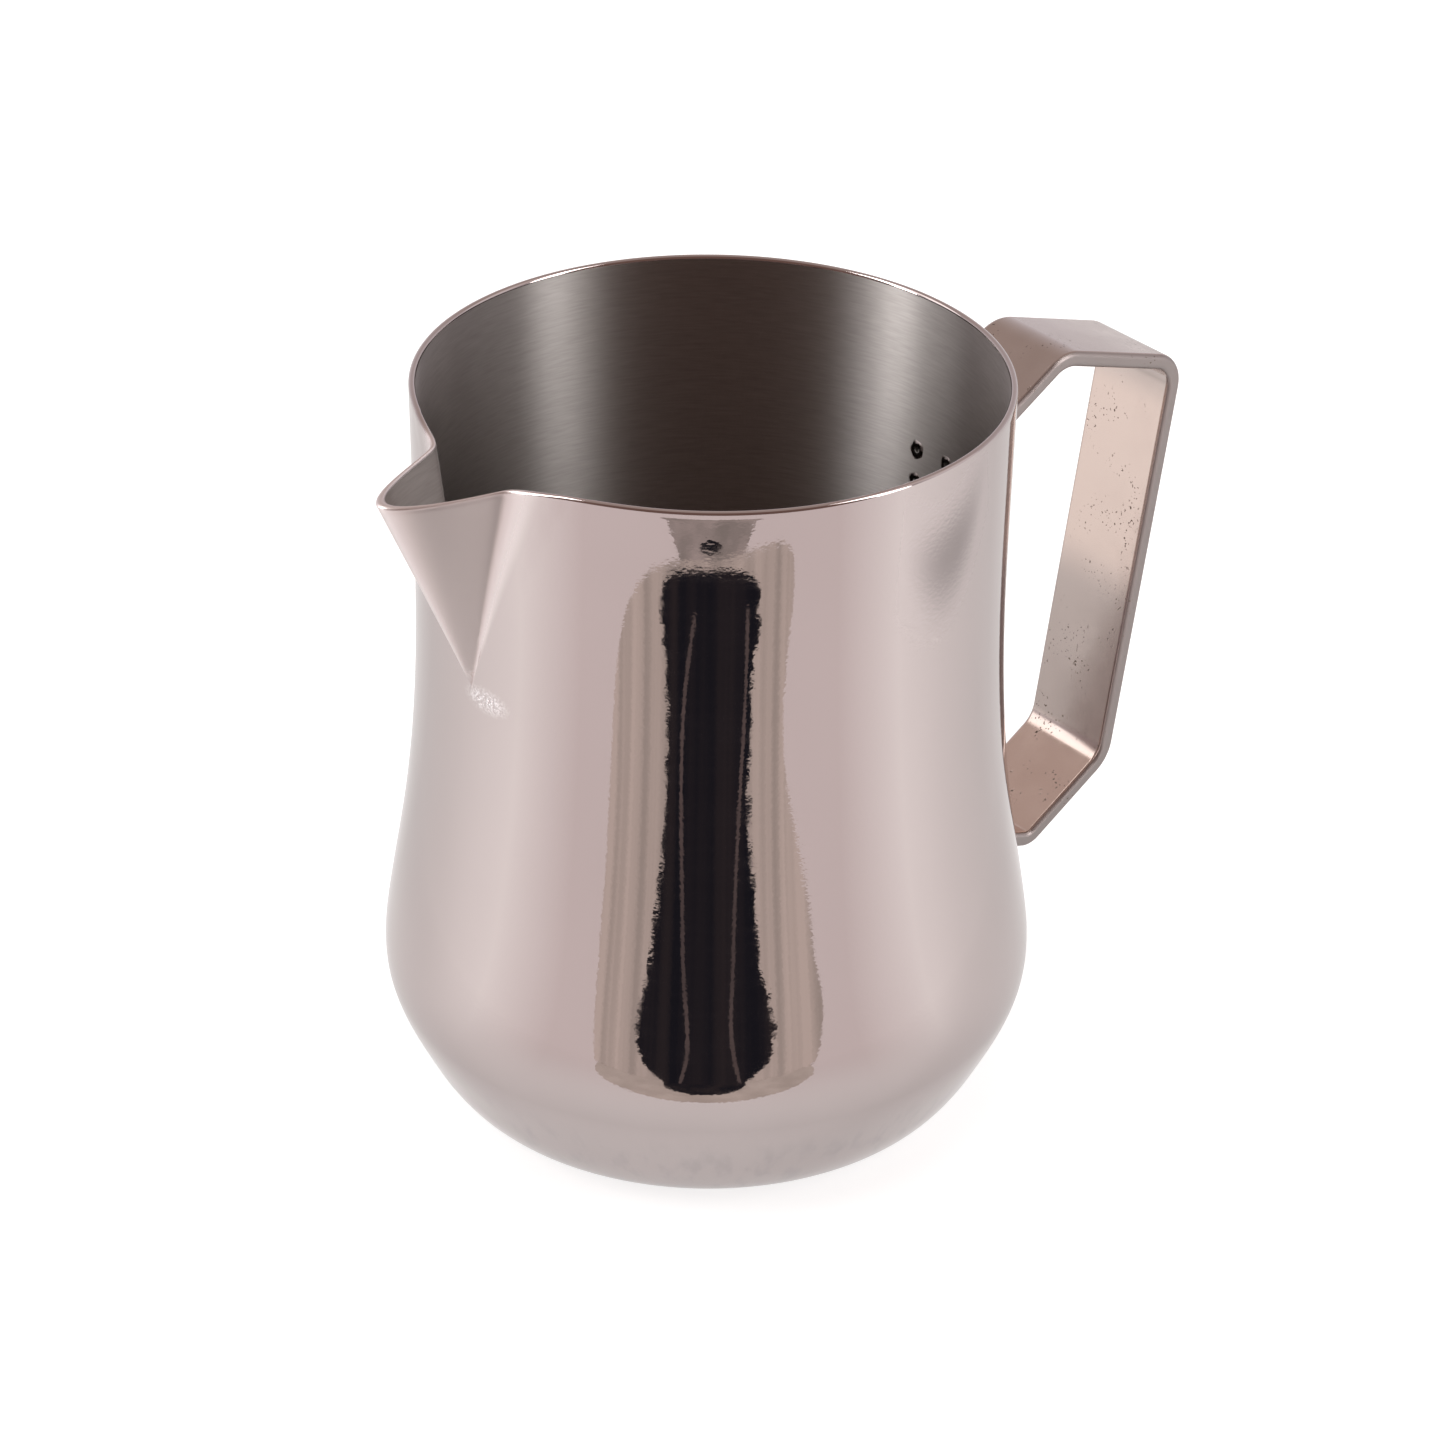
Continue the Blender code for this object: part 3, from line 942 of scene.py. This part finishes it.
def foot(name, ellipse, material):
    """Half an ellipse on the floor, which reaches from the cards' foot towards the pitcher."""
    reach_side, reach_in, height = ellipse
    points = []
    for step in range(CARD_STEPS + 1):
        turn = math.pi * step / CARD_STEPS
        across = reach_side * math.cos(turn)
        ahead = CARD_DISTANCE - reach_in * math.sin(turn)
        points.append(FRONT * ahead + RIGHT * across + Vector((0, 0, height)))
    mesh = bpy.data.meshes.new(name)
    mesh.from_pydata(points, [], [tuple(range(len(points)))])
    seen_in_reflections_only(stage_object(name, mesh, material))


def strip_card(name, line, distance, material):
    """A narrow standing strip along its middle line."""
    points = []
    faces = []
    for across, height in smooth_curve(line, CARD_STEPS, (0, 1)):
        for side in (-1, 1):
            sideways = float(across) * MM + side * WARM_WIDTH / 2
            points.append(FRONT * distance + RIGHT * sideways + Vector((0, 0, float(height) * MM)))
    for i in range(CARD_STEPS - 1):
        faces.append((2 * i, 2 * i + 1, 2 * i + 3, 2 * i + 2))
    mesh = bpy.data.meshes.new(name)
    mesh.from_pydata(points, [], faces)
    seen_in_reflections_only(stage_object(name, mesh, material))


def make_cards():
    black = streaked_glow("black_card_look", BLACK_STREAKS, BLACK_GRAINS)
    beige = streaked_glow("beige_card_look", BEIGE_STREAKS, BEIGE_GRAINS)
    grey = streaked_glow("grey_card_look", GREY_STREAKS, GREY_GRAINS)
    edge = streaked_glow("card_foot_look", FOOT_STREAKS, FOOT_GRAINS)
    warm = streaked_glow("warm_strip_look", WARM_STREAKS, WARM_GRAINS)
    card("black_card", BLACK_SIDE, BLACK_SIDE, CARD_DISTANCE, black, BLACK_RAG)
    card("smudge_card", SMUDGE_SIDE, SMUDGE_SIDE, CARD_DISTANCE, black, SMUDGE_RAG)
    card("beige_card", BEIGE_LEFT, BEIGE_RIGHT, CARD_DISTANCE + CARD_GAP, beige, BEIGE_RAG)
    card("grey_card", GREY_SIDE, GREY_SIDE, CARD_DISTANCE + 2 * CARD_GAP, grey, GREY_RAG)
    foot("beige_foot", BEIGE_FOOT, edge)
    foot("black_foot", BLACK_FOOT, black)
    strip_card("left_strip", WARM_LEFT, CARD_DISTANCE - CARD_GAP, warm)
    strip_card("right_strip", WARM_RIGHT, CARD_DISTANCE - CARD_GAP, warm)


def softbox(name, distance, azimuth, elevation, size, watts):
    """A rectangle of light that faces the origin."""
    light = bpy.data.lights.new(name, "AREA")
    light.shape = "RECTANGLE"
    light.size, light.size_y = size
    light.energy = watts
    light.color = LIGHT_TINT
    obj = bpy.data.objects.new(name, light)
    out = direction(math.radians(azimuth), math.radians(elevation))
    obj.location = out * distance
    obj.rotation_mode = "QUATERNION"
    obj.rotation_quaternion = out.to_track_quat("Z", "Y")
    bpy.context.scene.collection.objects.link(obj)
    return obj


def make_softboxes():
    """The ceiling's light isn't mirrored by the steel. The others make the inside's bright bands."""
    ceiling = softbox("ceiling_softbox", CEILING_DISTANCE, *CEILING_SOFTBOX)
    ceiling.visible_glossy = False
    for name, settings in SOFTBOXES.items():
        softbox(name, SOFTBOX_DISTANCE, *settings)


def make_world():
    """A room that is bright near the horizon, brown above and dark on the camera's side.

    The camera alone sees a pale backdrop.
    """
    world = bpy.data.worlds.new("studio")
    bpy.context.scene.world = world
    world.use_nodes = True
    tree = world.node_tree
    tree.nodes.clear()
    place = tree.nodes.new("ShaderNodeTexCoord")
    split = tree.nodes.new("ShaderNodeSeparateXYZ")
    ramp = tree.nodes.new("ShaderNodeValToRGB")
    elements = ramp.color_ramp.elements
    elements[0].position = ROOM_LOW_END
    elements[0].color = (*ROOM_LOW, 1)
    elements[1].position = ROOM_HIGH_START
    elements[1].color = (*ROOM_HIGH, 1)
    towards = tree.nodes.new("ShaderNodeVectorMath")
    towards.operation = "DOT_PRODUCT"
    towards.inputs[1].default_value = FRONT
    fade = tree.nodes.new("ShaderNodeMapRange")
    fade.interpolation_type = "SMOOTHSTEP"
    fade.inputs["From Min"].default_value = DARK_START
    fade.inputs["From Max"].default_value = DARK_FULL
    dim = tree.nodes.new("ShaderNodeMix")
    dim.data_type = "RGBA"
    dim.inputs["B"].default_value = (*ROOM_DARK, 1)
    room = tree.nodes.new("ShaderNodeBackground")
    backdrop = tree.nodes.new("ShaderNodeBackground")
    backdrop.inputs["Color"].default_value = (*BACKDROP, 1)
    path = tree.nodes.new("ShaderNodeLightPath")
    mix = tree.nodes.new("ShaderNodeMixShader")
    output = tree.nodes.new("ShaderNodeOutputWorld")
    tree.links.new(place.outputs["Generated"], split.inputs["Vector"])
    tree.links.new(split.outputs["Z"], ramp.inputs["Fac"])
    tree.links.new(place.outputs["Generated"], towards.inputs[0])
    tree.links.new(towards.outputs["Value"], fade.inputs["Value"])
    tree.links.new(fade.outputs["Result"], dim.inputs["Factor"])
    tree.links.new(ramp.outputs["Color"], dim.inputs["A"])
    tree.links.new(dim.outputs["Result"], room.inputs["Color"])
    tree.links.new(path.outputs["Is Camera Ray"], mix.inputs["Fac"])
    tree.links.new(room.outputs["Background"], mix.inputs[1])
    tree.links.new(backdrop.outputs["Background"], mix.inputs[2])
    tree.links.new(mix.outputs["Shader"], output.inputs["Surface"])


def make_camera():
    camera = bpy.data.cameras.new("camera")
    camera.lens = CAMERA_LENS
    camera.sensor_width = CAMERA_SENSOR
    camera.clip_start = CAMERA_CLIP_START
    obj = bpy.data.objects.new("camera", camera)
    bpy.context.scene.collection.objects.link(obj)
    obj.location = CAMERA_TARGET + CAMERA_BACK * CAMERA_DISTANCE
    up = CAMERA_BACK.cross(RIGHT)
    aim = CAMERA_TARGET + RIGHT * AIM_RIGHT + up * AIM_UP
    turned = (obj.location - aim).to_track_quat("Z", "Y").to_matrix().to_4x4()
    obj.matrix_world = Matrix.Translation(obj.location) @ turned @ Matrix.Rotation(CAMERA_ROLL, 4, "Z")
    bpy.context.scene.camera = obj


def main():
    make_body(polished_look(), satin_look())
    make_handle(strip_look())
    weld = weld_look()
    welds = sorted(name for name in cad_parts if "weld" in name)
    for seed, node in enumerate(welds):
        make_weld(node + "_nugget", node, weld, seed)
    make_floor()
    make_tones()
    make_patch()
    make_cards()
    make_world()
    make_softboxes()
    make_camera()
    bpy.context.scene.view_settings.view_transform = "Standard"


main()
